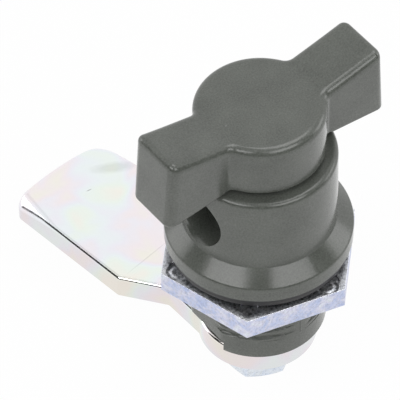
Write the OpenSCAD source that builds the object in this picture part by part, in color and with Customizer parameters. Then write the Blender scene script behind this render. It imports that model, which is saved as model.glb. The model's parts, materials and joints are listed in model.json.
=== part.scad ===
// Quarter-turn cam latch with a wing knob that takes a padlock.
// Z is the turning axis and points out of the panel, towards the knob.
// Z = 0 is the underside of the flange. X runs along the wings and the padlock bore.
// The drawn position is locked: the bores of drum and housing line up.

/* [Wing knob] */
// Radius of the round middle of the knob
disc_r = 12.6; // [11.5:0.1:14]
// Height of the flat top of the knob above the flange's underside
disc_top = 35.3; // [33:0.1:38]
// Radius of the rounded upper edges of the knob
knob_fillet = 1.5; // [0.6:0.1:1.8]
// Radius of the rounded lower edge of the round middle
disc_fillet = 0.8; // [0.4:0.1:1]
// Length of one wing from the axis, at its lower edge
wing_len = 25.7; // [22:0.1:30]
// Width of a wing
wing_w = 11.5; // [9:0.25:13]
// Slope of a wing's top, in degrees
wing_rise = 11.7; // [6:0.1:14]
// Slope of a wing's underside, in degrees
wing_fall = 6; // [2:0.5:7]
// How much shorter a wing is at its top
wing_draft = 1.6; // [0:0.1:2]
// Radius of the blend between a wing and the round middle
web_r = 2.0; // [1:0.1:3]
// Wall left round the hollow under a wing
wing_wall = 2.2; // [1.5:0.1:3]

/* [Lock drum] */
// Radius of the drum that turns in the housing
drum_r = 10.45; // [10.2:0.05:11]
// Radial running gap of the drum and of the spindle
run_gap = 0.05; // [0.02:0.01:0.08]
// Gap between faces that slide on each other
face_gap = 0.05; // [0.03:0.01:0.1]
// Gap between the knob and the rim of the housing
knob_gap = 0.8; // [0.5:0.1:1.2]
// Radius of the padlock bore
lock_r = 5.9; // [5:0.1:6.1]
// Height of the padlock bore's axis
lock_z = 13.5; // [12.5:0.1:14.5]
// How much wider the padlock bore is at its mouths
lock_flare = 0.4; // [0.1:0.1:0.8]

/* [Housing] */
// Radius of the flange
flange_r = 18.3; // [17.5:0.1:20]
// Height of the flange's upright rim
rim_h = 3.2; // [2.5:0.1:3.6]
// Height at which the flange's slope meets the cup
cone_top = 6.1; // [5:0.1:7]
// Radius of the cup at the flange
cup_base_r = 15.15; // [14.8:0.05:15.6]
// Radius of the cup at its rim
cup_top_r = 14.9; // [14.4:0.05:15.1]
// Height of the cup's rim
cup_top = 23.2; // [22.5:0.1:24]
// Radius of the cup's rounded rim
cup_fillet = 1.1; // [0.5:0.1:1.5]
// Thickness of the web that the spindle runs in
web_t = 3.0; // [2.5:0.1:4]
// Height of the web's upper face
web_z = -6.5; // [-7:0.1:-6]
// Length of the spindle's bearing boss below the web
boss_len = 2.5; // [2:0.1:3]
// Radius of the bearing boss
boss_r = 8.3; // [8:0.1:9]

/* [Neck] */
// Outer radius of the neck, over the thread
neck_r = 13.45; // [13.2:0.05:13.8]
// Length of the neck below the flange
neck_len = 22.7; // [21.5:0.1:24]
// Distance across the neck's two wide flats
neck_flats = 25.2; // [24.6:0.1:26]
// Distance across the two narrow reliefs in the thread
neck_relief = 25.9; // [25.4:0.1:26.4]
// Height of the plain band at the neck's lower end
band_h = 4.3; // [3.5:0.1:5]
// Radius of the hollow in the neck
neck_hollow_r = 10.0; // [9.5:0.1:10.3]
// Height of the stop notch in the neck's lower end
notch_h = 2.7; // [2:0.1:3]

/* [Gasket and nut] */
// Thickness of the gasket
gasket_t = 2.0; // [1.5:0.1:2.5]
// Outer radius of the gasket
gasket_r = 17.8; // [16.5:0.1:18.2]
// Clearance of the gasket and the nut round the neck
neck_gap = 0.05; // [0.02:0.01:0.1]
// Gap between the gasket and the nut, where the panel goes
panel_gap = 1.6; // [1:0.1:6]
// Distance across the nut's flats
nut_af = 35.5; // [34:0.5:38]
// Thickness of the nut
nut_t = 4.8; // [4:0.1:6]
// Depth of the round casting marks in the nut's upper face
mark_depth = 0.25; // [0.1:0.05:0.5]
// Turn of the nut on its thread, in degrees
nut_turn = 46; // [0:1:59]

/* [Spindle] */
// Radius of the spindle's round shank
shank_r = 5.6; // [5.4:0.1:5.7]
// Distance across the spindle's square end
square_af = 10; // [9.4:0.1:10.4]
// Clearance round the square end
square_gap = 0.05; // [0.02:0.01:0.1]
// Distance across the flats of the spindle's hexagon head
head_af = 9; // [8.5:0.1:9.6]
// Height of the spindle's hexagon head above the drum's lower face
head_h = 11.5; // [10:0.5:12]
// Radius of the pin through drum and head
pin_r = 1.25; // [1:0.05:1.5]
// Height of the pin above the drum's lower face
pin_up = 9.2; // [8.8:0.1:9.6]
// Thickness of the retaining ring
clip_t = 1.0; // [0.8:0.1:1.2]
// Thickness of the thrust washer
thrust_t = 0.8; // [0.6:0.1:1]
// Height of the wave washer's waves, from side to side
wave_h = 1.1; // [0.8:0.1:1.4]

/* [Detent and seals] */
// Radius of a detent ball
ball_r = 2.0; // [1.8:0.05:2.1]
// Distance of the detent balls from the axis
ball_at = 7.85; // [7.75:0.05:7.95]
// Thickness of the detent plate
plate_t = 1.2; // [1:0.1:1.4]
// Depth of the detent plate's dimples
dimple = 0.35; // [0.2:0.05:0.5]
// Radius of the detent spring's wire
wire_r = 0.25; // [0.2:0.05:0.3]
// Turns of a detent spring
spring_turns = 4; // [3:1:5]
// Height of the drum's seal
drum_seal_z = 21.2; // [20.6:0.1:21.6]
// Section radius of the two seals
seal_r = 0.75; // [0.6:0.05:0.85]

/* [Cam] */
// Angle of the blade from the padlock bore's direction
cam_angle = 100.5; // [90:0.5:105]
// Thickness of the cam
cam_t = 5.4; // [4:0.1:6]
// Gap between the neck and the cam
cam_gap = 0.5; // [0.3:0.1:1]
// Radius of the cam's hub
hub_r = 11.8; // [11:0.1:12.5]
// Reach of the blade from the axis
cam_len = 55.2; // [48:0.2:65]
// Width of the blade where it starts
blade_w = 26; // [23:0.2:28]
// How much the blade narrows towards its tip, on each side
blade_taper = 1.6; // [0:0.1:2.5]
// Distance from the axis at which the blade starts
blade_start = 25.5; // [24:0.5:28]
// Width of the waist between hub and blade
waist_w = 16.4; // [14:0.2:18]
// Distance of the waist from the axis
waist_at = 16.2; // [15:0.1:18]
// How much the waist widens towards the hub, on each side
hub_flare = 1.8; // [1:0.1:2.5]
// Radius of the arc of the blade's tip
tip_r = 70; // [55:1:90]
// How far the arc's highest point lies off the blade's middle
tip_shift = 6; // [0:0.5:8]
// Depth of the lead-in at the corner that the cam leads with
lead_in = 2.4; // [0.5:0.1:3]
// Depth of the lead-in at the other corner
back_lead_in = 0.7; // [0.3:0.1:2]
// Length of the lead-ins along the blade's sides
lead_run = 12; // [8:0.5:16]
// Half angle of the stop lug
lug_half = 11; // [6:0.5:12]
// Turn between locked and open
quarter_turn = 90; // [85:1:95]
// Free play of the stop lug at each end, in degrees
lug_play = 0.7; // [0.5:0.1:1.5]

/* [Cam bolt] */
// Radius of the bolt's shank
bolt_r = 3.95; // [3.7:0.05:3.95]
// Length of the bolt below its head
bolt_len = 14; // [11:0.5:14.5]
// Distance across the bolt head's flats
bolt_af = 13; // [12:0.5:14]
// Height of the bolt's head
bolt_head = 5.3; // [4.5:0.1:6]
// Turn of the bolt's head, in degrees
bolt_turn = 34; // [0:1:59]
// Outer radius of the plain washer
washer_r = 8.0; // [7.6:0.1:8.6]
// Thickness of the plain washer
washer_t = 1.6; // [1.2:0.1:2]
// Outer radius of the spring washer
lock_washer_r = 7.4; // [7:0.1:7.5]
// Thickness of the spring washer
lock_washer_t = 1.6; // [1.2:0.1:2]

/* [Hidden] */
$fn = 96;

plastic = [0.44, 0.45, 0.42];
zinc = [0.78, 0.80, 0.86];
bright_zinc = [0.88, 0.87, 0.86];
rubber = [0.09, 0.09, 0.10];

disc_draft = 0.1;                                  // taper of the round middle, on each side of its radius
overcut = 1;                                       // how far a cutter runs past a face
corner_steps = 6;                                  // flats along a rounded corner of an outline
disc_bottom = cup_top + knob_gap;
plate_top = web_z + plate_t;
drum_bottom = plate_top + face_gap;
pocket_r = ball_r + run_gap;
ball_z = plate_top + face_gap / 2 + ball_r;        // the ball stands on the plate, between dimples
coil_r = ball_r - wire_r - 0.1;
ball_touch = sqrt(pow(ball_r + wire_r, 2) - coil_r * coil_r) - wire_r;
spring_base = ball_z + ball_touch + 0.02;          // the spring sits on the shoulder of its ball
spring_len = 3.2;
pocket_top = spring_base + spring_len + 0.02;
pin_z = drum_bottom + pin_up;
seal_slack = 0.02;                                 // room of a seal in its groove
seal_depth = 2 * seal_r + seal_slack;              // depth of a seal's groove
seal_h = 2.6 * seal_r;                             // height of a seal's groove
pin_slack = 0.01;                                  // the spring pin is drawn just clear of its bore
spindle_seal_z = web_z - (web_t + boss_len) / 2;
boss_end = web_z - web_t - boss_len;
thrust_z = boss_end - face_gap - thrust_t;
clip_z = thrust_z - face_gap - wave_h - face_gap - clip_t;
clip_groove = 0.4;                                 // depth of the retaining ring's groove
peg_r = 1;                                         // radius of the pegs that hold the detent plate
peg_len = 1.5;                                     // how far the pegs reach into the web
tap_past = 2;                                      // depth of the tapped hole past the bolt's end
split_w = 0.5;                                     // width of the spring washer's split
stop_t = notch_h;
cam_top = -neck_len - cam_gap;
cam_bottom = cam_top - cam_t;
square_end = cam_bottom + 0.5;                     // the square stops short, so the bolt clamps the cam
washer_bottom = cam_bottom - washer_t;
lock_washer_bottom = washer_bottom - lock_washer_t;
notch_from = cam_angle - lug_half - lug_play;
notch_to = cam_angle + quarter_turn + lug_half + lug_play;
bore_x = sqrt(cup_top_r * cup_top_r - lock_r * lock_r);   // where the bore's sides leave the cup
mouth_depth = 0.8;                                 // how far inside that its mouths start to flare

function unit(v) = v / norm(v);

// the arc of radius r that rounds the corner b between a and c
function round_corner(a, b, c, r) =
    let (u = unit(a - b), v = unit(c - b), half = acos(u * v) / 2, centre = b + unit(u + v) * r / sin(half),
         p = b + u * r / tan(half) - centre, q = b + v * r / tan(half) - centre,
         from = atan2(p[1], p[0]), turn = atan2(q[1], q[0]) - from,
         sweep = turn > 180 ? turn - 360 : turn < -180 ? turn + 360 : turn)
    [for (i = [0:corner_steps]) let (t = from + sweep * i / corner_steps) centre + r * [cos(t), sin(t)]];

// an outline from corners [x, y, radius]
function rounded(corners) =
    let (n = len(corners), at = [for (c = corners) [c[0], c[1]]])
    [for (i = [0:n - 1]) let (r = corners[i][2])
     each r > 0 ? round_corner(at[(i + n - 1) % n], at[i], at[(i + 1) % n], r) : [at[i]]];

// a disc of radius r from z0 up to z1
module disc(r, z0, z1) { translate([0, 0, z0]) cylinder(r = r, h = z1 - z0); }

// a flat ring from z0 up to z1
module ring(r_out, r_in, z0, z1) {
    difference() {
        disc(r_out, z0, z1);
        disc(r_in, z0 - overcut, z1 + overcut);
    }
}

// a hexagon bar with its flats af apart, from z0 up to z1
module hex_bar(af, z0, z1) {
    translate([0, 0, z0]) cylinder(d = af / cos(30), h = z1 - z0, $fn = 6);
}

// a hexagon whose lower corners are turned down from the radius face_r
module turned_hex(af, face_r, slope, z0, z1) {
    r = af / 2 / cos(30) + overcut;
    intersection() {
        hex_bar(af, z0, z1);
        rotate_extrude() polygon([[0, z0], [face_r, z0], [r, z0 + (r - face_r) * tan(slope)], [r, z1 + overcut],
                                  [0, z1 + overcut]]);
    }
}

// a square bar with its corners turned down to the shank, from z0 up to z1
module square_bar(af, corner_r, z0, z1) {
    intersection() {
        translate([-af / 2, -af / 2, z0]) cube([af, af, z1 - z0]);
        disc(corner_r, z0 - overcut, z1 + overcut);
    }
}

// the two places of a pair on the Y axis
module pair_on_y(at) { for (s = [1, -1]) translate([0, s * at, 0]) children(); }

// the two places of the detent plate's pegs, half a click away from the balls
module at_pegs() { for (a = [45, 225]) rotate([0, 0, a]) translate([ball_at, 0, 0]) children(); }

// a slice of a circle between two angles
module slice(r, from, to) {
    step = (to - from) / 8;
    polygon(concat([[0, 0]], [for (i = [0:8]) let (a = from + i * step) [r * cos(a), r * sin(a)]]));
}

// half of a knob's or housing's outline with its upper outer corner rounded by f, and its lower one by g
module rounded_column(r_low, r_top, z0, z1, f, g) {
    polygon(rounded([[0, z0, 0], [r_low, z0, g], [r_top, z1, f], [0, z1, 0]]));
}

// the groove of a round seal in a shaft of radius r
module seal_groove(r, z) {
    ring(r + overcut, r - seal_depth, z - seal_h / 2, z + seal_h / 2);
}

// a round seal that fills the groove of a shaft of radius r
module seal(r, z) {
    translate([0, 0, z]) rotate_extrude() translate([r - seal_r, 0]) circle(seal_r, $fn = 32);
}

// a bar along X with its upper edges rounded, its top at Z = 0
module rounded_bar(f) {
    w = wing_w / 2;
    depth = disc_top;
    rotate([90, 0, 90]) linear_extrude(4 * wing_len, center = true)
        polygon(rounded([[-w, -depth, 0], [w, -depth, 0], [w, 0, f], [-w, 0, f]]));
}

// one wing along X: where its side view, top view and two rounded bars meet
module wing() {
    f = knob_fillet;
    w = wing_w / 2;
    corner = 1.3 * f;                              // radius of the wing's upright corners
    x_in = disc_r / 2;
    x_top = wing_len - wing_draft;
    top_at = disc_r - 1.2;                         // where the sloping top leaves the flat one
    low_z = disc_bottom - 0.3;                     // height of the underside beside the round middle
    rise = tan(wing_rise);
    fall = tan(wing_fall);
    intersection() {
        rotate([90, 0, 0]) linear_extrude(2 * wing_w, center = true)
            polygon(rounded([[x_in, low_z + (disc_r - x_in) * fall, 0],
                             [wing_len, low_z + (disc_r - wing_len) * fall, f / 2],
                             [x_top, disc_top + (x_top - top_at) * rise, f],
                             [x_in, disc_top + (x_in - top_at) * rise, 0]]));
        linear_extrude(2 * disc_top)
            polygon(rounded([[0, -w, 0], [wing_len, -w, corner], [wing_len, w, corner], [0, w, 0]]));
        translate([top_at, 0, disc_top]) rotate([0, -wing_rise, 0]) rounded_bar(f);
        translate([disc_r, 0, low_z]) rotate([0, wing_fall, 0]) mirror([0, 0, 1]) rounded_bar(f / 2);
    }
}

// the blends between one wing and the round middle, with the knob's upper edge running through them
module wing_webs() {
    f = knob_fillet;
    cy = wing_w / 2 + web_r;
    reach = disc_r + web_r;
    cx = sqrt(reach * reach - cy * cy);
    k = (disc_r - f - overcut) / reach;            // share of the way to the blend's axis
    low = cy - web_r - f - overcut;
    arc = [for (i = [0:corner_steps]) let (t = 90 * i / corner_steps)
           [web_r + f - f * cos(t), disc_top - f + f * sin(t)]];
    for (s = [1, -1])
        difference() {
            translate([0, 0, disc_bottom + disc_fillet]) linear_extrude(disc_top - disc_bottom - disc_fillet)
                polygon([[cx, s * low], [cx, s * cy], [cx * k, s * cy * k], [cx * k, s * low]]);
            translate([cx, s * cy, 0]) rotate_extrude()
                polygon(concat([[0, disc_bottom], [web_r, disc_bottom]], arc,
                               [[web_r + f, disc_top + overcut], [0, disc_top + overcut]]));
        }
}

// the hollow under one wing, open below, with a rib across it
module wing_hollow() {
    x0 = disc_r + wing_wall / 2;
    x1 = wing_len - wing_draft - wing_wall;
    w = wing_w - 2 * wing_wall;
    rib = 1.6;
    half = (x1 - x0 - rib) / 2;
    z0 = disc_bottom - wing_wall - overcut;
    for (x = [x0, x0 + half + rib])
        translate([x, -w / 2, z0]) cube([half, w, disc_top - wing_wall - z0]);
}

module padlock_bore(length) {
    translate([-length / 2, 0, lock_z]) rotate([0, 90, 0]) cylinder(r = lock_r, h = length);
}

// the bore of the spring pin, as far as reach on both sides
module pin_bore(reach) {
    translate([0, reach, pin_z]) rotate([90, 0, 0]) cylinder(r = pin_r + pin_slack, h = 2 * reach);
}

// wings, round middle and drum are one moulding
module wing_knob() {
    color(plastic) difference() {
        union() {
            rotate_extrude() rounded_column(disc_r + disc_draft, disc_r - disc_draft, disc_bottom, disc_top,
                                            knob_fillet, disc_fillet);
            disc(drum_r, drum_bottom, disc_bottom + overcut);
            for (turn = [0, 180]) rotate([0, 0, turn]) {
                wing();
                wing_webs();
            }
        }
        for (turn = [0, 180]) rotate([0, 0, turn]) wing_hollow();
        padlock_bore(2 * drum_r + 2 * overcut);
        seal_groove(drum_r, drum_seal_z);
        hex_bar(head_af + 2 * run_gap, drum_bottom - overcut, drum_bottom + head_h + run_gap);
        pair_on_y(ball_at) disc(pocket_r, drum_bottom - overcut, pocket_top);
        pin_bore(drum_r + overcut);
    }
}

module drum_seal() { color(rubber) seal(drum_r, drum_seal_z); }

module spindle() {
    color(zinc) difference() {
        union() {
            hex_bar(head_af, drum_bottom, drum_bottom + head_h);
            disc(shank_r, cam_top + stop_t, drum_bottom);
            square_bar(square_af, shank_r, square_end, cam_top + stop_t);
        }
        seal_groove(shank_r, spindle_seal_z);
        ring(shank_r + overcut, shank_r - clip_groove, clip_z - face_gap, clip_z + clip_t + face_gap);
        disc(bolt_r + run_gap, square_end - overcut, lock_washer_bottom + bolt_len + tap_past);
        pin_bore(head_af);
    }
}

// a rolled spring pin with its slot upwards
module spindle_pin() {
    length = 2 * drum_r - pin_r / 2;
    wall = pin_r / 3;
    color(zinc) translate([0, length / 2, pin_z]) rotate([90, 0, 0]) difference() {
        cylinder(r = pin_r, h = length);
        translate([0, 0, -overcut]) cylinder(r = pin_r - wall, h = length + 2 * overcut);
        translate([-wall / 2, 0, -overcut]) cube([wall, pin_r + overcut, length + 2 * overcut]);
    }
}

// a round wire swept along a helix, as rings of points joined to their neighbours
module coil(mean_r, wire, turns, length) {
    sides = 8;
    per_turn = 18;
    rings = turns * per_turn;
    rise = (length - 2 * wire) / rings;
    points = [for (i = [0:rings]) let (a = i * 360 / per_turn, z = wire + i * rise)
              for (j = [0:sides - 1]) let (b = j * 360 / sides, r = mean_r + wire * cos(b))
              [r * cos(a), r * sin(a), z + wire * sin(b)]];
    skin = [for (i = [0:rings - 1]) for (j = [0:sides - 1]) let (k = (j + 1) % sides)
            [i * sides + j, i * sides + k, (i + 1) * sides + k, (i + 1) * sides + j]];
    ends = [[for (j = [0:sides - 1]) sides - 1 - j], [for (j = [0:sides - 1]) rings * sides + j]];
    polyhedron(points, concat(skin, ends), convexity = 10);
}

module detent_springs() {
    color(zinc) pair_on_y(ball_at) translate([0, 0, spring_base])
        coil(coil_r, wire_r, spring_turns, spring_len);
}

module detent_balls() {
    color(bright_zinc) pair_on_y(ball_at) translate([0, 0, ball_z]) sphere(ball_r);
}

// a steel plate under the drum, with a dimple at each quarter turn and two pegs in the web
module detent_plate() {
    r_in = shank_r + 0.6;
    r_out = drum_r - 0.2;
    reach = ball_r - dimple;
    color(zinc) {
        difference() {
            ring(r_out, r_in, web_z, plate_top);
            for (a = [0:90:270]) rotate([0, 0, a]) translate([ball_at, 0, plate_top + reach]) sphere(ball_r);
        }
        at_pegs() disc(peg_r, web_z - peg_len, web_z + plate_t / 2);
    }
}

module spindle_seal() { color(rubber) seal(shank_r, spindle_seal_z); }

module housing_outline() {
    polygon([[0, 0], [flange_r, 0], [flange_r, rim_h], [cup_base_r, cone_top], [0, cone_top]]);
    translate([0, cone_top])
        rounded_column(cup_base_r, cup_top_r, 0, cup_top - cone_top, cup_fillet, 0);
}

// the neck with its wide flats, and narrow reliefs above the plain band
module neck_body() {
    big = 2 * neck_r + 2;
    intersection() {
        union() {
            disc(neck_r, -neck_len, -neck_len + band_h);
            intersection() {
                disc(neck_r, -neck_len, overcut);
                translate([-big / 2, -neck_relief / 2, -neck_len]) cube([big, neck_relief, neck_len + overcut]);
            }
        }
        translate([-neck_flats / 2, -big / 2, -neck_len]) cube([neck_flats, big, neck_len + overcut]);
    }
}

// the flare at the mouths of the padlock bore, which starts inside the cup's wall
module lock_mouths() {
    depth = cup_base_r - bore_x + mouth_depth;
    for (turn = [0, 180]) rotate([0, 0, turn])
        translate([bore_x - mouth_depth, 0, lock_z]) rotate([0, 90, 0])
            cylinder(r1 = lock_r, r2 = lock_r + lock_flare * (depth + overcut) / depth, h = depth + overcut);
}

module housing() {
    color(plastic) difference() {
        union() {
            rotate_extrude() housing_outline();
            neck_body();
        }
        disc(drum_r + run_gap, web_z, cup_top + overcut);
        difference() {
            disc(neck_hollow_r, -neck_len - overcut, web_z - web_t);
            disc(boss_r, boss_end, web_z);
        }
        disc(shank_r + run_gap, boss_end - overcut, web_z + overcut);
        at_pegs() disc(peg_r + run_gap, web_z - peg_len - 2 * face_gap, web_z + overcut);
        padlock_bore(2 * (cup_base_r + overcut));
        lock_mouths();
        translate([0, 0, -neck_len - overcut]) linear_extrude(notch_h + overcut)
            slice(1.2 * neck_r, notch_from, notch_to);
    }
}

module panel_gasket() { color(rubber) ring(gasket_r, neck_r + neck_gap, -gasket_t, 0); }

// a thin hexagon nut with a round casting mark in each corner of its upper face
module panel_nut() {
    top = -gasket_t - panel_gap;
    mark_r = 1.7;
    mark_at = nut_af / 2 / cos(30) - 2.1 * mark_r;
    color(zinc) rotate([0, 0, nut_turn]) difference() {
        hex_bar(nut_af, top - nut_t, top);
        disc(neck_r + neck_gap, top - nut_t - overcut, top + overcut);
        for (a = [0:60:300]) rotate([0, 0, a]) translate([mark_at, 0, 0]) disc(mark_r, top - mark_depth, top + overcut);
    }
}

module thrust_washer() { color(rubber) ring(boss_r, shank_r + 0.15, thrust_z, thrust_z + thrust_t); }

// a spring washer rolled into three waves
module wave_washer() {
    sheet = 0.35;
    r_in = shank_r + 0.3;
    r_out = boss_r - 0.3;
    steps = 72;
    swing = (wave_h - sheet) / 2;
    mid = thrust_z - face_gap - wave_h / 2;
    points = [for (i = [0:steps - 1]) let (a = i * 360 / steps, z = mid + swing * cos(3 * a))
              for (c = [[r_in, -1], [r_out, -1], [r_out, 1], [r_in, 1]])
              [c[0] * cos(a), c[0] * sin(a), z + c[1] * sheet / 2]];
    faces = [for (i = [0:steps - 1]) let (n = (i + 1) % steps) for (j = [0:3]) let (k = (j + 1) % 4)
             for (t = [[i * 4 + j, i * 4 + k, n * 4 + k], [i * 4 + j, n * 4 + k, n * 4 + j]]) t];
    color(bright_zinc) polyhedron(points, faces, convexity = 6);
}

// an open ring with two eyes for pliers
module retaining_ring() {
    r_in = shank_r - clip_groove + 0.03;
    r_out = shank_r + 1.4;
    eye_r = 1.1;
    eye_turn = 20;                                 // angle of each eye from the middle of the opening
    open_half = 9;                                 // half angle of the opening
    color(zinc) translate([0, 0, clip_z]) linear_extrude(clip_t) difference() {
        union() {
            circle(r_out);
            for (a = [-eye_turn, eye_turn]) rotate(a) translate([r_out + eye_r / 5, 0]) circle(eye_r);
        }
        circle(r_in);
        slice(2 * r_out, -open_half, open_half);
        for (a = [-eye_turn, eye_turn]) rotate(a) translate([r_out + eye_r / 5, 0]) circle(eye_r / 2);
    }
}

// a washer on the square, whose lug runs in the notch of the neck
module stop_washer() {
    color(zinc) difference() {
        union() {
            disc(neck_hollow_r - 0.3, cam_top, cam_top + stop_t);
            translate([0, 0, cam_top]) linear_extrude(stop_t) intersection() {
                circle(neck_r - 0.2);
                slice(1.2 * neck_r, cam_angle - lug_half, cam_angle + lug_half);
            }
        }
        square_bar(square_af + 2 * square_gap, shank_r + square_gap, cam_top - overcut, cam_top + stop_t + overcut);
    }
}

// waist, blade and tip seen from above, with the blade along Y
module blade_outline() {
    w = blade_w / 2;
    n = waist_w / 2;
    tip_w = w - blade_taper;
    lead_corner = 1.6;
    back_corner = 5.5;
    from = asin((tip_shift - tip_w) / tip_r);
    to = asin((tip_shift + tip_w) / tip_r);
    steps = 24;
    tip = [for (i = [0:steps]) let (a = from + (to - from) * i / steps)
           [tip_r * sin(a) - tip_shift, cam_len - tip_r + tip_r * cos(a)]];
    polygon(rounded(concat([[n + hub_flare, hub_r / 3, 0], [-n - hub_flare, hub_r / 3, 0], [-n, waist_at, 1],
                            [-w, blade_start, 1.5], [tip[0][0], tip[0][1], lead_corner]],
                           [for (i = [3:steps - 7]) [tip[i][0], tip[i][1], 0]],
                           [[tip[steps][0], tip[steps][1], back_corner], [w, blade_start, 1.5], [n, waist_at, 1]])));
}

// the slope at the blade's corner on the +X side, that deep at the corner
module lead_cut(depth) {
    inset = 2.5;                                   // reach of the slope across the corner
    skew = 3.1;                                    // how far the slope's edge turns in over its run
    y = cam_len - lead_run;
    x = blade_w / 2 - blade_taper * (y - blade_start) / (cam_len - blade_start);
    translate([x, y, 0]) rotate([0, 0, atan(skew / lead_run)]) rotate([0, atan(depth / inset), 0])
        translate([0, -lead_run, 0]) cube([blade_w, 3 * lead_run, cam_t]);
}

module cam() {
    color(bright_zinc) difference() {
        rotate([0, 0, cam_angle - 90]) translate([0, 0, cam_bottom]) difference() {
            union() {
                disc(hub_r, 0, cam_t);
                linear_extrude(cam_t) blade_outline();
            }
            translate([0, 0, cam_t]) {
                lead_cut(back_lead_in);
                mirror([1, 0, 0]) lead_cut(lead_in);
            }
        }
        square_bar(square_af + 2 * square_gap, shank_r + square_gap, cam_bottom - overcut, cam_top + overcut);
    }
}

module plain_washer() { color(zinc) ring(washer_r, bolt_r + 0.25, washer_bottom, cam_bottom); }

// a split washer, pressed flat by the bolt
module spring_washer() {
    color(zinc) difference() {
        ring(lock_washer_r, bolt_r + 0.15, lock_washer_bottom, washer_bottom);
        translate([lock_washer_r / 2 + 1, 0, washer_bottom - lock_washer_t / 2]) rotate([25, 0, 0])
            cube([lock_washer_r, split_w, 3 * lock_washer_t], center = true);
    }
}

// a hexagon bolt with the corners of its head turned down
module cam_bolt() {
    low = lock_washer_bottom - bolt_head;
    face_r = bolt_af / 2 - 0.4;                    // radius of the flat end of the head
    slope = 30;                                    // slope of its turned corners
    color(zinc) {
        rotate([0, 0, bolt_turn]) turned_hex(bolt_af, face_r, slope, low, lock_washer_bottom);
        disc(bolt_r, lock_washer_bottom - bolt_head / 2, lock_washer_bottom + bolt_len);
    }
}

wing_knob();
drum_seal();
spindle();
spindle_pin();
detent_springs();
detent_balls();
detent_plate();
spindle_seal();
housing();
panel_gasket();
panel_nut();
thrust_washer();
wave_washer();
retaining_ring();
stop_washer();
cam();
plain_washer();
spring_washer();
cam_bolt();
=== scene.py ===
import json
import math

import bmesh
import bpy
from mathutils import Matrix, Vector


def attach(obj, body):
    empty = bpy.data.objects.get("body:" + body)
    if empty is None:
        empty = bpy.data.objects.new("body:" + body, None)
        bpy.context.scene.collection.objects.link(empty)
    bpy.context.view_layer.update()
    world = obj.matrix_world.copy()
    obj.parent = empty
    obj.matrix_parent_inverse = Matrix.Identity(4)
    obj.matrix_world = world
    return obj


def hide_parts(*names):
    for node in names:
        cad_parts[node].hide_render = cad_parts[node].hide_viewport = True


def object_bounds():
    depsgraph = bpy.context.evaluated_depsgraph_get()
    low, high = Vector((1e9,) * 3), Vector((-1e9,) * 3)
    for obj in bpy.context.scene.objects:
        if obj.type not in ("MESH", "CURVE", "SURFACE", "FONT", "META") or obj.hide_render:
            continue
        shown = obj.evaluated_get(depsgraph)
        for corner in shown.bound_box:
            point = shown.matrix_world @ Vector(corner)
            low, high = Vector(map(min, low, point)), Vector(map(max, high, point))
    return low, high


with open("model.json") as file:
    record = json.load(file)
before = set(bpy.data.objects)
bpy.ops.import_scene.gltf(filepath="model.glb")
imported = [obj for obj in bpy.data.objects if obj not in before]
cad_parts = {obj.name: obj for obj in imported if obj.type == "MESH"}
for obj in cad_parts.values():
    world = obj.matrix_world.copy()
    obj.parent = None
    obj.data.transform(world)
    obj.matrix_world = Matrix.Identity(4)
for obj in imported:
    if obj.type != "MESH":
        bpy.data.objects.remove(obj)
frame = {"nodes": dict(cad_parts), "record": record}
cad_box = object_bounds()
nodes = frame["nodes"]

MM = 0.001
SAME = 0.000002                     # vertices closer than this, in m, are one
LEVEL = 0.00001                     # heights closer than this, in m, are the same
SHARP = math.radians(32)            # an edge that turns by more than this stays sharp
TURN = -37.17                       # degrees about Z, from the camera's frame to the row frame

# ---------------------------------------------------------------- camera
ELEVATION, ROLL, DISTANCE, LENS, SENSOR = 48.44, -0.3, 0.8, 377.3, 36
TARGET = Vector((-11.26 * MM, 0, 8.45 * MM))


def set_camera():
    elevation, roll = math.radians(ELEVATION), math.radians(ROLL)
    back = Vector((0, -math.cos(elevation), math.sin(elevation)))
    level = Vector((1, 0, 0))
    steep = back.cross(level)
    right = math.cos(roll) * level + math.sin(roll) * steep
    up = math.cos(roll) * steep - math.sin(roll) * level
    axes = Matrix((right, up, back)).transposed().to_4x4()
    camera = bpy.data.cameras.new("camera")
    camera.sensor_width = SENSOR
    camera.lens = LENS
    ob = bpy.data.objects.new("camera", camera)
    bpy.context.scene.collection.objects.link(ob)
    ob.matrix_world = (Matrix.Rotation(math.radians(TURN), 4, "Z")
                       @ Matrix.Translation(TARGET + back * DISTANCE) @ axes)
    bpy.context.scene.camera = ob


set_camera()


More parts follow.
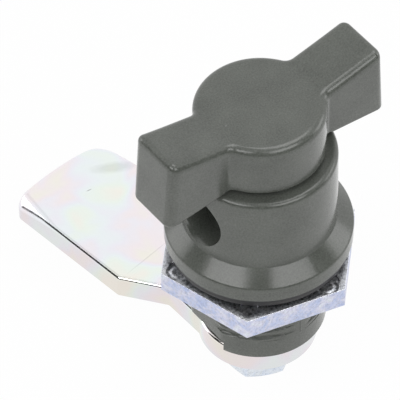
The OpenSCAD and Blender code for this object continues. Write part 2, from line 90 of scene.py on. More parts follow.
# ---------------------------------------------------------------- node helpers
class Tree:
    """A short way to write a node tree. An input is a constant or a socket to link to it."""

    def __init__(self, owner):
        owner.use_nodes = True
        self.tree = owner.node_tree
        self.tree.nodes.clear()
        self.coords = None

    def add(self, kind, inputs=None, **props):
        node = self.tree.nodes.new(kind)
        for key, value in props.items():
            setattr(node, key, value)
        for key, value in (inputs or {}).items():
            self.put(node.inputs[key], value)
        return node

    def put(self, socket, value):
        if isinstance(value, bpy.types.NodeSocket):
            self.tree.links.new(value, socket)
        else:
            socket.default_value = value

    def math(self, operation, a, b=0.0):
        return self.add("ShaderNodeMath", {0: a, 1: b}, operation=operation).outputs[0]

    def coord(self, which="Object"):
        if self.coords is None:
            self.coords = self.add("ShaderNodeTexCoord")
        return self.coords.outputs[which]

    def height(self, which):
        """The z of a texture coordinate."""
        return self.add("ShaderNodeSeparateXYZ", {0: self.coord(which)}).outputs[2]

    def distance(self, point):
        """The distance in mm from a point in mm."""
        away = self.add("ShaderNodeVectorMath", {0: self.coord(), 1: [c * MM for c in point]},
                        operation="DISTANCE").outputs["Value"]
        return self.math("MULTIPLY", away, 1 / MM)

    def noise(self, scale, detail, rough, distortion=0.0, vector=None):
        return self.add("ShaderNodeTexNoise",
                        {"Vector": self.coord() if vector is None else vector, "Scale": scale,
                         "Detail": detail, "Roughness": rough,
                         "Distortion": distortion}).outputs["Fac"]

    def ramp(self, fac, stops):
        """A ramp through stops: where each lies, and its colour or grey level."""
        node = self.add("ShaderNodeValToRGB", {"Fac": fac})
        while len(node.color_ramp.elements) < len(stops):
            node.color_ramp.elements.new(0.5)
        for element, (at, c) in zip(node.color_ramp.elements, stops):
            element.position = at
            element.color = (c, c, c, 1) if isinstance(c, (int, float)) else (*c, 1)
        return node.outputs["Color"]

    def spread(self, fac, low, high):
        """A ramp over the range that a noise really takes."""
        return self.ramp(fac, [(0.3, low), (0.7, high)])

    def mix(self, fac, a, b, blend="MIX"):
        node = self.add("ShaderNodeMix", data_type="RGBA", blend_type=blend)
        for key, value in (("Factor", fac), ("A", a), ("B", b)):
            if isinstance(value, tuple):
                value = (*value, 1)
            self.put(next(s for s in node.inputs if s.name == key and s.enabled), value)
        return next(s for s in node.outputs if s.enabled)

    def times(self, a, b):
        return self.mix(1.0, a, b, "MULTIPLY")

    def bump(self, height, strength, depth, over=None):
        """A bump whose depth is in mm, over another one."""
        inputs = {"Height": height, "Strength": strength, "Distance": depth * MM}
        if over is not None:
            inputs["Normal"] = over
        return self.add("ShaderNodeBump", inputs).outputs["Normal"]

    def seen(self):
        """1 for the rays that see the background, 0 for those that carry its light."""
        path = self.add("ShaderNodeLightPath").outputs
        return self.math("MAXIMUM", path["Is Camera Ray"],
                         self.math("MAXIMUM", path["Is Glossy Ray"], path["Is Transmission Ray"]))

    def surface(self, node, output="ShaderNodeOutputMaterial"):
        self.add(output, {"Surface": node.outputs[0]})

    def shade(self, **inputs):
        self.surface(self.add("ShaderNodeBsdfPrincipled",
                              {key.replace("_", " "): value for key, value in inputs.items()}))


def material(name):
    m = bpy.data.materials.new(name)
    return m, Tree(m)


def linear(*colour):
    """A colour written as 0 to 255 of the display, as the linear one that a shader takes."""
    return tuple((c / 255 / 12.92) if c <= 10 else ((c / 255 + 0.055) / 1.055) ** 2.4
                 for c in colour)


def polar(r, degrees):
    return r * math.cos(math.radians(degrees)), r * math.sin(math.radians(degrees))


# ---------------------------------------------------------------- materials
GATE_MARK, GATE_DEPTH = (-8.5, -1.0, 35.5), 4.0     # a small pit on the knob: place in mm, depth
GRAIN_CONTRAST = 0.34                               # of the plastic's colour, either way
RING_MARKS = [((*polar(17.4, a), -3.6), 1.7) for a in (169, -79)]   # on the nut: centre, radius
NUT_TINTS = ((0.46, 0.53, 0.78), (0.58, 0.64, 0.84), (0.72, 0.72, 0.85), (0.80, 0.85, 0.92))
STEEL_TINTS = ((0.60, 0.70, 0.86), (0.72, 0.78, 0.88), (0.80, 0.84, 0.88), (0.70, 0.80, 0.90))
# the first is the colour of worn edges, made lighter also as a painted highlight line
WORN_EDGE_AND_HIGHLIGHT, WORN_ROUGH, NUT_FACE = (0.93, 0.94, 0.96), (0.16, 0.16, 0.16), (0.92, 0.93, 0.93)
PASTELS = ((0.32, (0.88, 0.84, 0.74)), (0.41, (0.89, 0.79, 0.84)), (0.48, (0.83, 0.82, 0.93)),
           (0.54, (0.80, 0.89, 0.93)), (0.60, (0.81, 0.92, 0.83)), (0.70, (0.91, 0.86, 0.76)))
# the second is the sheared sides' pink-grey tint, darkened partly as painted shade
ZINC, SHEARED_AND_SHADED = (0.91, 0.90, 0.88), (0.66, 0.62, 0.59)
# darker streaks on the cam's upper face: middle x and y, direction, half length and width, tone
STREAKS = ((-9.1, 23.5, 9.5, 7.5, 0.22, 0.90), (-0.5, 46.8, -28, 6.0, 1.8, 0.86),
           (-8.1, 44.9, -6, 0.8, 0.12, 0.45))


def moulded_plastic(name, colour):
    """Satin moulded plastic: a fine grain, faint clouds, uneven gloss and the mark of the gate."""
    m, t = material(name)
    grain = t.noise(scale=3100, detail=2, rough=0.6)
    cloud = t.noise(scale=140, detail=3, rough=0.55)

    def blend(share):
        """Cloud and grain together, with that share of cloud."""
        return t.math("ADD", t.math("MULTIPLY", cloud, share),
                      t.math("MULTIPLY", grain, 1 - share))

    base = t.spread(blend(0.35), [c * (1 - GRAIN_CONTRAST) for c in colour],
                    [c * (1 + GRAIN_CONTRAST) for c in colour])
    grazing = t.add("ShaderNodeLayerWeight", {"Blend": 0.5}).outputs["Facing"]
    rough = t.times(t.spread(blend(0.5), 0.16, 0.24), t.ramp(grazing, [(0.70, 1.0), (0.92, 0.25)]))
    pit = t.ramp(t.distance(GATE_MARK), [(0.25, 1.0), (0.5, 0.0)])
    ripple = t.math("SUBTRACT", t.noise(scale=1100, detail=1, rough=0.5),
                    t.math("MULTIPLY", pit, GATE_DEPTH))
    t.shade(Base_Color=base, Roughness=rough, IOR=1.56,
            Normal=t.bump(grain, 0.12, 0.06, over=t.bump(ripple, 0.22, 0.05)))
    return m


def rubber(name):
    """Black rubber with a soft mould texture."""
    m, t = material(name)
    fine = t.noise(scale=2600, detail=2, rough=0.5)
    t.shade(Base_Color=t.spread(fine, (0.006, 0.006, 0.007), (0.016, 0.016, 0.018)),
            Roughness=t.spread(fine, 0.42, 0.58), Normal=t.bump(fine, 0.2, 0.04))
    return m


def mottled_zinc(name, tints, contrast, rough, marks=()):
    """Zinc plate over rough stamped steel: blue with lilac and pale patches and specks, neutral
    on level faces, with worn edges whose lighter colour is partly a painted highlight line, and
    pressed ring marks."""
    m, t = material(name)
    patch = t.noise(scale=380, detail=5, rough=0.72, distortion=0.6)
    speck = t.noise(scale=1900, detail=4, rough=0.75, distortion=0.3)
    base = t.times(t.ramp(patch, tuple(zip((0.30, 0.44, 0.56, 0.68), tints))),
                   t.ramp(speck, [(0.34, 1 - contrast), (0.50, 0.94), (0.62, 1.0)]))
    height = speck
    for centre, radius in marks:
        off = t.math("ABSOLUTE", t.math("SUBTRACT", t.distance(centre), radius))
        groove = t.ramp(off, [(0.10, 1.0), (0.55, 0.0)])
        height = t.math("SUBTRACT", height, t.math("MULTIPLY", groove, 1.6))
    level = t.math("ABSOLUTE", t.height("Normal"))
    # edges between the faces: lighter and glossier, partly real wear and partly a painted highlight
    # line
    edge = t.ramp(level, [(0.12, 0.0), (0.30, 1.0), (0.85, 1.0), (0.97, 0.0)])
    face = t.ramp(level, [(0.90, 0.0), (0.98, 0.75)])
    coarse = t.ramp(speck, [(0.40, 0.45), (0.50, 0.85), (0.58, 1.0)])
    base = t.mix(face, base, t.times(NUT_FACE, coarse))
    t.shade(Base_Color=t.mix(t.math("MULTIPLY", edge, 0.8), base, WORN_EDGE_AND_HIGHLIGHT), Metallic=1.0,
            Roughness=t.mix(edge, t.spread(speck, *rough), WORN_ROUGH),
            Normal=t.bump(height, 0.8, 0.11))
    return m


def bright_zinc(name):
    """Bright zinc plate with the pastel patches of its passivation, sheared sides that are also
    darker as painted shade, and streaks.
    """
    m, t = material(name)
    pastel = t.ramp(t.noise(scale=88, detail=2, rough=0.45, distortion=0.35), PASTELS)
    fine = t.noise(scale=900, detail=3, rough=0.6)
    speck = t.ramp(t.noise(scale=700, detail=1, rough=0.3), [(0.16, 0.35), (0.18, 1.0)])
    base = t.times(t.mix(0.40, pastel, ZINC), speck)
    ragged = t.math("MULTIPLY", t.math("SUBTRACT", fine, 0.5), 0.5)
    for x, y, angle, half_length, half_width, tone in STREAKS:
        moved = t.add("ShaderNodeMapping",
                      {"Vector": t.coord(), "Location": (x * MM, y * MM, 0),
                       "Rotation": (0, 0, math.radians(angle)),
                       "Scale": (half_length * MM, half_width * MM, 1)}, vector_type="TEXTURE")
        reach = t.add("ShaderNodeVectorMath", {0: moved.outputs[0]}, operation="LENGTH")
        reach = t.math("ADD", reach.outputs["Value"], ragged)
        base = t.times(base, t.ramp(reach, [(0.4, tone), (0.95, 1.0)]))
    # upright faces take the sheared colour: a real pink-grey tint, darkened also as painted shade
    upright = t.ramp(t.math("ABSOLUTE", t.height("Normal")), [(0.12, 1.0), (0.40, 0.0)])
    base = t.mix(upright, base, t.mix(0.5, pastel, SHEARED_AND_SHADED))
    drawn = t.add("ShaderNodeMapping", {"Vector": t.coord(), "Scale": (1, 0.05, 1)}).outputs[0]
    scratch = t.noise(scale=2200, detail=2, rough=0.5, vector=drawn)
    t.shade(Base_Color=base, Metallic=1.0, Roughness=t.spread(fine, 0.11, 0.18),
            Normal=t.bump(scratch, 0.03, 0.02))
    return m


def plain_metal(name, colour, rough):
    """Plain plated or rolled steel with faint tool marks."""
    m, t = material(name)
    fine = t.noise(scale=1300, detail=3, rough=0.6)
    t.shade(Base_Color=t.spread(fine, [c * 0.85 for c in colour], colour), Metallic=1.0,
            Roughness=t.spread(fine, *rough), Normal=t.bump(fine, 0.12, 0.04))
    return m


def natural_plastic(name):
    """Uncoloured moulded plastic."""
    m, t = material(name)
    fine = t.noise(scale=900, detail=2, rough=0.5)
    t.shade(Base_Color=t.spread(fine, (0.72, 0.70, 0.62), (0.80, 0.78, 0.71)),
            Roughness=t.spread(fine, 0.40, 0.50), Normal=t.bump(fine, 0.1, 0.04))
    return m


MATERIALS = {
    "knob_plastic": moulded_plastic("knob_plastic", linear(84, 87, 82)),
    "housing_plastic": moulded_plastic("housing_plastic", linear(83, 86, 81)),
    "gasket_rubber": rubber("gasket_rubber"),
    "nut_zinc": mottled_zinc("nut_zinc", NUT_TINTS, 0.30, (0.30, 0.50), RING_MARKS),
    "cam_zinc": bright_zinc("cam_zinc"),
    "steel_zinc": mottled_zinc("steel_zinc", STEEL_TINTS, 0.22, (0.24, 0.38)),
    "spring_steel": plain_metal("spring_steel", (0.55, 0.55, 0.55), (0.25, 0.37)),
    "thrust_plastic": natural_plastic("thrust_plastic"),
}
for part in frame["record"]["subparts"]:
    ob = nodes[part["node"]]
    ob.data.materials.clear()
    ob.data.materials.append(MATERIALS[part["material_slot"]])


# ---------------------------------------------------------------- helpers for pieces built here
def mesh_object(name, bm):
    me = bpy.data.meshes.new(name)
    bm.to_mesh(me)
    bm.free()
    ob = bpy.data.objects.new(name, me)
    bpy.context.scene.collection.objects.link(ob)
    return ob


def new_piece(name, bm, body, slot, replaced=()):
    """A mesh that rides on a body, in the record's finish for that slot."""
    ob = mesh_object(name, bm)
    ob.data.materials.append(MATERIALS[slot])
    ob.data.shade_smooth()
    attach(ob, body)
    if replaced:
        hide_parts(*replaced)
    return ob


def cut(ob, name, bm):
    """Take a hidden solid away from a piece."""
    tool = mesh_object(name, bm)
    tool.hide_render = True
    m = ob.modifiers.new("cut_" + name, "BOOLEAN")
    m.operation = "DIFFERENCE"
    m.solver = "EXACT"
    m.object = tool


def to_mesh(ob):
    """Apply the modifiers, mark sharp edges and let the large faces rule the shading."""
    fine = bpy.data.meshes.new_from_object(
        ob.evaluated_get(bpy.context.evaluated_depsgraph_get()))
    ob.modifiers.clear()
    ob.data = fine
    fine.shade_smooth()
    fine.set_sharp_from_angle(angle=SHARP)
    weigh = ob.modifiers.new("weighted_normals", "WEIGHTED_NORMAL")
    weigh.keep_sharp = True
    weigh.weight = 80


def box_into(bm, low, high):
    """A box between two corners in mm."""
    low, high = (Vector([c * MM for c in corner]) for corner in (low, high))
    bmesh.ops.create_cube(bm, size=1, matrix=(Matrix.Translation((high + low) / 2)
                                              @ Matrix.Diagonal((*(high - low), 1))))


def skin(bm, rows, closed=False):
    """Quads between rows of vertices, each row a loop."""
    pairs = list(zip(rows, rows[1:])) + ([(rows[-1], rows[0])] if closed else [])
    for a, b in pairs:
        for i in range(len(a)):
            j = (i + 1) % len(a)
            bm.faces.new((a[i], a[j], b[j], b[i]))


def outwards(bm):
    bmesh.ops.recalc_face_normals(bm, faces=bm.faces)
    return bm


def capped(rows):
    """A closed solid through rows of points in m, each row a loop."""
    bm = bmesh.new()
    rows = [[bm.verts.new(p) for p in row] for row in rows]
    skin(bm, rows)
    bm.faces.new(rows[0])
    bm.faces.new(rows[-1])
    return outwards(bm)


def arc(cx, cy, r, start, end, steps):
    """Points of an arc with the direction of each from its centre; angles in degrees."""
    out = []
    for i in range(steps + 1):
        u, v = polar(1, start + (end - start) * i / steps)
        out.append((cx + r * u, cy + r * v, u, v))
    return out


def rounding(r, steps):
    """A rounded edge, from the side to the face: pairs of inset and distance from the face."""
    return [(r * (1 - u), r * (1 - v)) for _, _, u, v in arc(0, 0, r, 0, 90, steps)]


# ---------------------------------------------------------------- knob
# In mm. The head is made of rings that follow its outline, from the lower rounded edge up.
DISC_R, DISC_TOP, DISC_LOW = 12.7, 35.5, 24.0
WING_HALF, WING_TIP, TIP_DRAFT, SIDE_DRAFT = 6.0, 25.85, 1.15, 0.1
RISE_AT, RISE_BLEND, RISE = 10.4, 1.4, math.tan(math.radians(11.2))   # of the wings' upper faces
FALL, STEP_RUN, STEP_FALL = math.tan(math.radians(6)), 0.4, 0.75      # of their undersides
WEB, CORNER, TOP_EDGE, LOW_EDGE = 1.9, 2.0, 1.7, 0.7                  # radii
WALL, RIB, HOLLOW_AT = 2.2, 1.6, DISC_R + 1.1                         # of the wings' hollows
DRUM_REACH = 10.6                                                     # a little past the drum


def head_quarter():
    """A quarter of the outline: wing corner, wing side, blend and disc, with their normals."""
    cy, reach = WING_HALF + WEB, DISC_R + WEB
    cx = math.sqrt(reach * reach - cy * cy)
    beta = math.degrees(math.atan2(cy, cx))
    straight, parts = WING_TIP - CORNER, 14
    corner = arc(straight, WING_HALF - CORNER, CORNER, 0, 90, 8)
    side = [(straight + (cx - straight) * i / parts, WING_HALF, 0, 1) for i in range(1, parts)]
    web = [(x, y, -u, -v) for x, y, u, v in arc(cx, cy, WEB, 270, 180 + beta, 8)]
    disc = arc(0, 0, DISC_R, beta, 90, 22)[1:]
    return corner + side + web + disc


def head_top(x):
    """Height of the upper face: level on the disc, then a blend, then the rising wing."""
    past = abs(x) - RISE_AT
    if past < -RISE_BLEND:
        return DISC_TOP
    return DISC_TOP + RISE * (past if past > RISE_BLEND
                              else (past + RISE_BLEND) ** 2 / 4 / RISE_BLEND)


def head_low(x):
    """Height of the underside: level below the disc, a short step at its edge, then the wing."""
    past = max(abs(x) - DISC_R + STEP_RUN, 0)
    return DISC_LOW - (min(past, STEP_RUN) * STEP_FALL + max(past - STEP_RUN, 0) * FALL)


def knob_head():
    quarter = head_quarter()
    loop = quarter + [(-x, y, -u, v) for x, y, u, v in reversed(quarter[:-1])]
    loop += [(x, -y, u, -v) for x, y, u, v in reversed(loop)]
    bm = bmesh.new()

    def ring(inset, above, upper):
        """The outline moved in, at its height above the underside or below the top."""
        verts = []
        for x, y, u, v in loop:
            px, py = x - inset * u, y - inset * v
            low, top = head_low(px), head_top(px)
            z = top - above if upper else low + above
            share = (z - low) / (top - low)
            out = min(max((abs(px) - DISC_R) / (WING_TIP - DISC_R), 0), 1)
            px -= math.copysign(TIP_DRAFT * out ** 3 * share, px)
            py -= math.copysign(SIDE_DRAFT * (2 * share - 1), py)
            verts.append(bm.verts.new((px * MM, py * MM, z * MM)))
        return verts

    rows = [ring(inset, above, False) for inset, above in reversed(rounding(LOW_EDGE, 4))]
    rows += [ring(inset, above, True) for inset, above in rounding(TOP_EDGE, 9)]
    skin(bm, rows)
    for row in (rows[0], rows[-1]):
        for i in range(len(loop) // 2 - 1):
            bm.faces.new((row[i], row[i + 1], row[-2 - i], row[-1 - i]))
    head = new_piece("knob_head", outwards(bm), "turning_body", "knob_plastic", ("wing_knob",))

    hollows = bmesh.new()
    cell = (WING_TIP - TIP_DRAFT - WALL - HOLLOW_AT - RIB) / 2
    for side in (-1, 1):
        for x in (HOLLOW_AT, HOLLOW_AT + cell + RIB):
            a, b = sorted((side * x, side * (x + cell)))
            box_into(hollows, (a, -WING_HALF + WALL, DISC_LOW - 4),
                     (b, WING_HALF - WALL, DISC_TOP - WALL))
    cut(head, "wing_hollows", hollows)
    to_mesh(head)


def lock_drum():
    """The drum below the head, with its bores, from the solid's faces that lie in the housing."""
    bm = bmesh.new()
    bm.from_mesh(nodes["wing_knob"].data)
    bmesh.ops.remove_doubles(bm, verts=bm.verts, dist=SAME)
    outside = [f for f in bm.faces
               if max(v.co.z for v in f.verts) > (DISC_LOW + 0.2) * MM
               or max(math.hypot(v.co.x, v.co.y) for v in f.verts) > DRUM_REACH * MM]
    bmesh.ops.delete(bm, geom=outside, context="FACES")
    for e in bm.edges:
        e.smooth = len(e.link_faces) == 2 and e.calc_face_angle(0) < SHARP
    new_piece("lock_drum", bm, "turning_body", "knob_plastic")


# ---------------------------------------------------------------- housing
# In mm. The outline runs up inside and down outside: radius, height and rounding of each corner.
HOUSING = ((10.0, -22.7, 0.2), (10.0, -9.5, 0.2), (8.3, -9.5, 0.2), (8.3, -12.0, 0.2),
           (5.65, -12.0, 0), (5.65, -6.5, 0), (10.5, -6.5, 0), (10.5, 23.2, 0.3),
           (14.9, 23.2, 1.2), (15.15, 6.1, 0.25), (18.3, 3.2, 0.8), (18.3, 0, 0.25))
NECK_R, NECK_LEN, NECK_EDGE, FLAT, BAND_TOP = 13.45, 22.7, 0.25, 12.6, -17.9
PITCH, THREAD_DEPTH, THREAD_TOP, THREAD_PHASE = 2.0, 0.5, -0.9, 0.45
GROOVE_HALF, GROOVE_FLANK = 0.36, 0.12              # shares of the pitch
FADE_AT, FADE_OVER = 0.10, 0.32                     # where the thread fades, as shares of x / r
PARTING_HALF, PARTING_HIGH = 0.012, 0.10            # the parting lines: share of x / r, height
RING_STEP, BAND_STEP = 0.1, 0.01                    # between the rings of the thread, at the band
FINE_TO = 12.95                                     # a ring's points are closest up to this y
LOCK_R, LOCK_Z = 5.9, 13.5
LOCK_MOUTH = ((-20, 2.2), (-15.0, 0.4), (-14.2, 0.12), (-12.9, 0))      # x, and how much wider
NOTCH_FROM, NOTCH_TO, NOTCH_TOP = 88.8, 202.2, -20  # degrees, mm
PAST_LOW, PAST_R = -30, 20                          # safely below the neck and outside it


def rounded_profile(corners):
    """A line through corners (r, z, radius), each turned into an arc."""
    out = []
    for i, (x, y, r) in enumerate(corners):
        if not r:
            out.append((x, y))
            continue
        here = Vector((x, y))
        a = (Vector(corners[i - 1][:2]) - here).normalized()
        b = (Vector(corners[(i + 1) % len(corners)][:2]) - here).normalized()
        half = a.angle(b) / 2
        centre = here + (a + b).normalized() * r / math.sin(half)
        p = here + a * r / math.tan(half) - centre
        q = here + b * r / math.tan(half) - centre
        turn = p.angle_signed(q)
        for k in range(7):
            t = -turn * k / 6
            out.append((centre.x + p.x * math.cos(t) - p.y * math.sin(t),
                        centre.y + p.x * math.sin(t) + p.y * math.cos(t)))
    return out


def neck_radius(theta, z):
    """Radius of the neck: flats across X, and a thread that fades at the parting lines across Y."""
    c = abs(math.cos(theta))
    r = NECK_R
    if BAND_TOP < z < THREAD_TOP:
        turn = (z / PITCH - theta / (2 * math.pi) + THREAD_PHASE) % 1
        full = min(max((GROOVE_HALF - abs(turn - 0.5)) / GROOVE_FLANK, 0), 1)
        fade = min(max((c - FADE_AT) / FADE_OVER, 0), 1)
        r -= THREAD_DEPTH * max(full - (1 - fade), 0)
    if z > BAND_TOP and c < PARTING_HALF:
        r += PARTING_HIGH
    return min(r, FLAT / c if c > 0.5 else r)


def housing_shell():
    flat_edge = math.degrees(math.acos(FLAT / NECK_R))
    fine_edge = math.degrees(math.asin(FINE_TO / NECK_R))
    quarter = [flat_edge * i / 7 for i in range(7)]
    quarter += [flat_edge + (fine_edge - flat_edge) * i / 20 for i in range(20)]
    quarter += [fine_edge + (89 - fine_edge) * i / 5 for i in range(6)] + [89.6]
    upper = quarter + [90] + [180 - a for a in reversed(quarter[1:])]
    angles = [math.radians(a) for a in upper + [180 + a for a in upper]]
    bm = bmesh.new()

    def ring(radii, z):
        return [bm.verts.new((r * math.cos(a) * MM, r * math.sin(a) * MM, z * MM))
                for r, a in zip(radii, angles)]

    neck = [(-RING_STEP * i, 0) for i in range(round(-BAND_TOP / RING_STEP))]   # height and inset
    neck += [(BAND_TOP + BAND_STEP, 0), (BAND_TOP - BAND_STEP, 0), (-NECK_LEN + NECK_EDGE, 0),
             (-NECK_LEN, NECK_EDGE)]
    rows = [ring([r] * len(angles), z) for r, z in rounded_profile(HOUSING)]
    rows += [ring([neck_radius(a, z) - inset for a in angles], z) for z, inset in neck]
    skin(bm, rows, closed=True)
    shell = new_piece("housing_shell", outwards(bm), "housing_body", "housing_plastic",
                      ("housing",))

    # the padlock bore with its flared mouths, and the stop notch
    sides = 72
    mouths = LOCK_MOUTH + tuple((-x, wider) for x, wider in reversed(LOCK_MOUTH))
    circle = [polar(1, 360 * k / sides) for k in range(sides)]
    cut(shell, "lock_bore", capped(
        [[(x * MM, (LOCK_R + wider) * u * MM, (LOCK_Z + (LOCK_R + wider) * v) * MM)
          for u, v in circle] for x, wider in mouths]))
    fan = [(0, 0)] + [(x, y) for x, y, _, _ in arc(0, 0, PAST_R, NOTCH_FROM, NOTCH_TO, 8)]
    cut(shell, "stop_notch", capped([[(x * MM, y * MM, z * MM) for x, y in fan]
                                     for z in (PAST_LOW, NOTCH_TOP)]))
    to_mesh(shell)


# ---------------------------------------------------------------- cam
# In mm. The outline is the solid's; the upper edge is rounded and the tip has two sloped corners.
CAM_TOP, CAM_LOW, CAM_ROUND, CAM_LOW_EDGE = -23.20, -28.60, 0.8, 0.25
CAM_TURN = math.radians(10.50)
SLOPE_AT, SLOPE_SKEW = (12.046, 43.200), math.atan(3.1 / 12.00)
SLOPE_SOFT = 2.0                                                    # radius at a slope's start
SLOPES = ((-1, math.atan(2.40 / 2.5)), (1, math.atan(0.70 / 2.5)))  # side of the blade, angle


def slope_reach(p, side):
    """How far a point lies past the line where the slope on that side starts."""
    x = side * (p.x * math.cos(CAM_TURN) + p.y * math.sin(CAM_TURN)) / MM
    y = (p.y * math.cos(CAM_TURN) - p.x * math.sin(CAM_TURN)) / MM
    return (x - SLOPE_AT[0]) * math.cos(SLOPE_SKEW) + (y - SLOPE_AT[1]) * math.sin(SLOPE_SKEW)


def slope_depth(reach, angle):
    """How deep the slope is there; its start is rounded."""
    past = reach + SLOPE_SOFT * math.tan(angle / 2)
    if past <= 0:
        return 0
    if past < SLOPE_SOFT * math.sin(angle):
        return SLOPE_SOFT - math.sqrt(SLOPE_SOFT * SLOPE_SOFT - past * past)
    return math.tan(angle) * reach


def rim_loops(ob, z):
    """The closed outlines of a solid's flat face at that height, the largest first."""
    bm = bmesh.new()
    bm.from_mesh(ob.data)
    bmesh.ops.remove_doubles(bm, verts=bm.verts, dist=SAME)
    flat = [f for f in bm.faces if all(abs(v.co.z - z * MM) < LEVEL for v in f.verts)]
    follow = {}
    for f in flat:
        for e in f.loops:
            if len([g for g in e.edge.link_faces if g in flat]) == 1:
                follow[e.vert.index] = e.link_loop_next.vert.index
    at = {v.index: v.co.copy() for v in bm.verts}
    bm.free()
    loops = []
    while follow:
        start, here = next(iter(follow.items()))
        loop = [start]
        del follow[start]
        while here != start:
            loop.append(here)
            here = follow.pop(here)
        loops.append([at[i] for i in loop])
    return sorted(loops, key=lambda c: -max(p.length for p in c))


def cam_plate():
    outer, hole = rim_loops(nodes["cam"], CAM_LOW)
    count = len(outer)
    slant = []                                      # how an offset of 1 moves each point
    for i, p in enumerate(outer):
        a, b = (p - outer[i - 1]).normalized(), (outer[(i + 1) % count] - p).normalized()
        na, nb = Vector((-a.y, a.x, 0)), Vector((-b.y, b.x, 0))
        slant.append((na + nb) / (1 + na.dot(nb)))
    inward = 1 if sum(p.cross(q).z for p, q in zip(outer, outer[1:] + outer[:1])) > 0 else -1
    profile = [(CAM_LOW_EDGE, CAM_LOW), (0, CAM_LOW + CAM_LOW_EDGE)]
    profile += [(inset, CAM_TOP - below) for inset, below in rounding(CAM_ROUND, 6)]
    bm = capped([[(p + inward * inset * MM * n).xy.to_3d() + Vector((0, 0, z * MM))
                  for p, n in zip(outer, slant)] for inset, z in profile])
    for side, angle in SLOPES:
        across = Vector((side * math.cos(SLOPE_SKEW), math.sin(SLOPE_SKEW), 0))
        across.rotate(Matrix.Rotation(CAM_TURN, 3, "Z"))
        base = across * -slope_reach(Vector((0, 0, 0)), side) * MM
        for k in range(7):
            at = SLOPE_SOFT * (math.sin(angle * k / 6) - math.tan(angle / 2))
            bmesh.ops.bisect_plane(bm, geom=bm.verts[:] + bm.edges[:] + bm.faces[:],
                                   dist=SAME / 2, plane_co=base + across * at * MM,
                                   plane_no=across)
    for v in bm.verts:
        if v.co.z > (CAM_TOP - CAM_ROUND) * MM - LEVEL:
            v.co.z -= sum(slope_depth(slope_reach(v.co, side), angle)
                          for side, angle in SLOPES) * MM
    plate = new_piece("cam_plate", outwards(bm), "turning_body", "cam_zinc", ("cam",))
    cut(plate, "cam_square", capped([[(p.x, p.y, z * MM) for p in hole]
                                     for z in (CAM_LOW - 1, CAM_TOP + 1)]))
    to_mesh(plate)


knob_head()
lock_drum()
housing_shell()
cam_plate()

# ---------------------------------------------------------------- rounded edges on the solids
BEVEL = {"panel_nut": (0.35, 3), "cam_bolt": (0.25, 3), "plain_washer": (0.15, 2),
         "spring_washer": (0.12, 2), "stop_washer": (0.15, 2), "panel_gasket": (0.25, 3),
         "detent_plate": (0.08, 2), "spindle": (0.15, 2)}              # width in mm, segments
for name, ob in nodes.items():
    ob.data.shade_smooth()
    ob.data.set_sharp_from_angle(angle=SHARP)
    weld = ob.modifiers.new("weld", "WELD")
    weld.merge_threshold = SAME
    if name in BEVEL:
        join = ob.modifiers.new("join_flat_faces", "DECIMATE")
        join.decimate_type = "DISSOLVE"
        join.angle_limit = math.radians(0.5)
        bevel = ob.modifiers.new("rounding", "BEVEL")
        bevel.width = BEVEL[name][0] * MM
        bevel.segments = BEVEL[name][1]
        bevel.limit_method = "ANGLE"
        bevel.angle_limit = SHARP
        bevel.harden_normals = True
        bevel.miter_outer = "MITER_ARC"

# ---------------------------------------------------------------- floor, room, world and lamps
# In m and degrees.
FLOOR_R, FLOOR_GAP, FLOOR_GLOW = 3, 0.0002, 0.96
ROOM_R, ROOM_SIDE, ROOM_STEP, ROOM_LOW, ROOM_TOP = 1.6, 90, 6, -0.02, 2.6
LAMP_AWAY = 1.0


def direction(azimuth, elevation=0):
    """Away from the object. Azimuth 0 is behind the camera, and grows to its right."""
    a, e = math.radians(azimuth + TURN), math.radians(elevation)
    return Vector((math.sin(a) * math.cos(e), -math.cos(a) * math.cos(e), math.sin(e)))


def add_floor():
    """A floor that shows white, and darker where the object keeps light from it."""
    bm = bmesh.new()
    bmesh.ops.create_circle(bm, cap_ends=True, segments=64, radius=FLOOR_R)
    floor = mesh_object("floor", bm)
    floor.location.z = cad_box[0].z - FLOOR_GAP
    m, t = material("floor_white")
    diffuse = t.add("ShaderNodeBsdfDiffuse", {"Color": (0.86, 0.86, 0.86, 1)})
    glow = t.add("ShaderNodeEmission", {"Color": (1, 1, 1, 1), "Strength": 1.0})
    t.surface(t.add("ShaderNodeMixShader", {0: t.math("MULTIPLY", t.seen(), FLOOR_GLOW),
                                            1: diffuse.outputs[0], 2: glow.outputs[0]}))
    floor.data.materials.append(m)


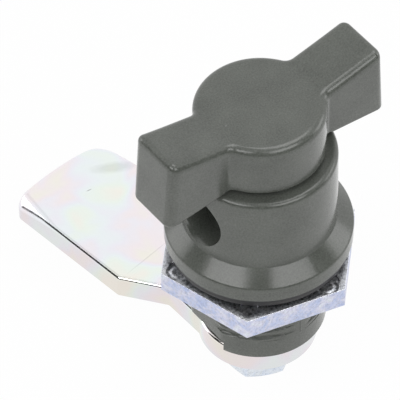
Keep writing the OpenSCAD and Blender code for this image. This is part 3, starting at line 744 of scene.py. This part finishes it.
def add_room():
    """The dark room behind the camera, seen only in reflections: it gives rounded edges their
    dark line."""
    bm = bmesh.new()
    edge = [ROOM_R * direction(a) for a in range(-ROOM_SIDE, ROOM_SIDE + 1, ROOM_STEP)]
    low, high = ([bm.verts.new(v + Vector((0, 0, z))) for v in edge] for z in (ROOM_LOW, ROOM_TOP))
    for i in range(len(edge) - 1):
        bm.faces.new((low[i], low[i + 1], high[i + 1], high[i]))
    room = mesh_object("room", bm)
    room.location.z = cad_box[0].z
    room.visible_camera = room.visible_diffuse = room.visible_shadow = False
    m, t = material("room_black")
    t.shade(Base_Color=(0.02, 0.02, 0.02, 1), Roughness=0.8)
    room.data.materials.append(m)


def add_world():
    """White where it is seen, and a plain light that is stronger from above."""
    world = bpy.data.worlds.new("studio")
    bpy.context.scene.world = world
    t = Tree(world)
    height = t.height("Generated")
    light = t.add("ShaderNodeBackground",
                  {"Color": t.ramp(height, [(0.55, 0.32), (0.95, 0.66)]), "Strength": 1.0})
    white = t.add("ShaderNodeBackground",
                  {"Color": t.ramp(height, [(0.76, 1.0), (0.88, 0.75)]), "Strength": 1.0})
    t.surface(t.add("ShaderNodeMixShader", {0: t.seen(), 1: light.outputs[0],
                                            2: white.outputs[0]}), "ShaderNodeOutputWorld")


def add_lamp(name, azimuth, elevation, size, power):
    """A rectangular softbox that looks at the object."""
    light = bpy.data.lights.new(name, "AREA")
    light.shape = "RECTANGLE"
    light.size, light.size_y = size
    light.energy = power
    ob = bpy.data.objects.new(name, light)
    bpy.context.scene.collection.objects.link(ob)
    away = direction(azimuth, elevation)
    ob.location = away * LAMP_AWAY
    ob.rotation_mode = "QUATERNION"
    ob.rotation_quaternion = (-away).to_track_quat("-Z", "Y")


add_floor()
add_room()
add_world()
add_lamp("key_left", -42, 45, (0.68, 0.42), 3.3)
add_lamp("key_right", 42, 45, (0.68, 0.42), 2.9)
add_lamp("side_left", -106, 17, (0.44, 0.40), 1.0)
add_lamp("side_right", 106, 18, (0.42, 0.36), 0.9)
add_lamp("top", 143, 72, (0.50, 0.48), 1.9)

bpy.context.scene.view_settings.view_transform = "Standard"
